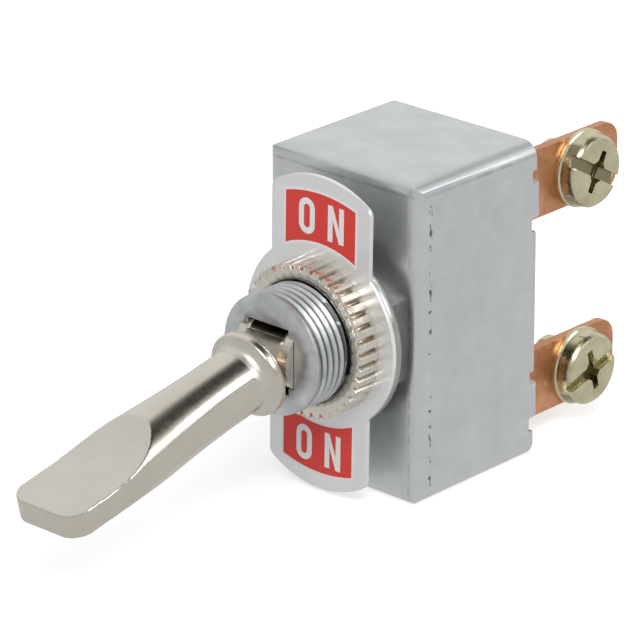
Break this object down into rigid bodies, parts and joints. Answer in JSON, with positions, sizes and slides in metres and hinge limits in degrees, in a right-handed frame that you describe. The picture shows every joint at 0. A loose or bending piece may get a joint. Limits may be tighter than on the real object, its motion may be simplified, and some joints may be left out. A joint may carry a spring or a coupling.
{
  "type": "panel toggle switch",
  "caption": "Panel toggle switch with a flattened metal bat lever, threaded bushing with knurled ring nut, lettered legend plate, steel case and screw terminals.",
  "frame": {"origin": "bushing axis where it meets the front face of the steel case", "axes": "-Y out of the panel along the bushing, +Z towards the upper terminal, +X the side that carries two terminals"},
  "size_m": [0.0194, 0.0726, 0.0324],
  "materials": {
    "case_steel": "bright plated sheet steel",
    "bushing_zinc": "plated die-cast zinc",
    "lever_nickel": "nickel plated",
    "nut_nickel": "nickel plated",
    "hardware_steel": "plated",
    "legend_aluminium": "satin, printed",
    "terminal_copper": "bare copper alloy",
    "screw_yellow": "yellow zinc plated",
    "contact_silver": "silver faced",
    "spring_steel": "bright wire",
    "base_phenolic": "moulded, matt",
    "retainer_nylon": "natural moulding"
  },
  "bodies": {
    "switch_body": {"case": "case_steel", "bushing": "bushing_zinc", "base": "base_phenolic", "pivot_retainer": "retainer_nylon", "terminal_upper": "terminal_copper", "terminal_lower": "terminal_copper", "terminal_common": "terminal_copper", "contact_rivet_upper": "contact_silver", "contact_rivet_lower": "contact_silver", "contact_rivet_common": "contact_silver", "terminal_screw_upper": "screw_yellow", "terminal_screw_lower": "screw_yellow", "terminal_screw_common": "screw_yellow", "back_nut": "hardware_steel", "back_washer": "hardware_steel", "legend_plate": "legend_aluminium", "ring_nut": "nut_nickel"},
    "lever": {"bat_lever": "lever_nickel"},
    "carriage": {"contact_carriage": "base_phenolic", "contact_bridge": "terminal_copper", "contact_spring_upper": "spring_steel", "contact_spring_lower": "spring_steel"}
  },
  "joints": [
    {"name": "lever_tilt", "type": "hinge", "parent": "switch_body", "child": "lever", "pos_m": [0, -0.0081, 0], "axis": [-1, 0, 0], "range_deg": [0, 23.6]},
    {"name": "carriage_slide", "type": "slide", "parent": "switch_body", "child": "carriage", "axis": [0, 0, -1], "range_m": [0, 0.00532]}
  ],
  "couplings": [
    {"joint": "carriage_slide", "follows": "lever_tilt", "m_per_rad": 0.012908}
  ]
}
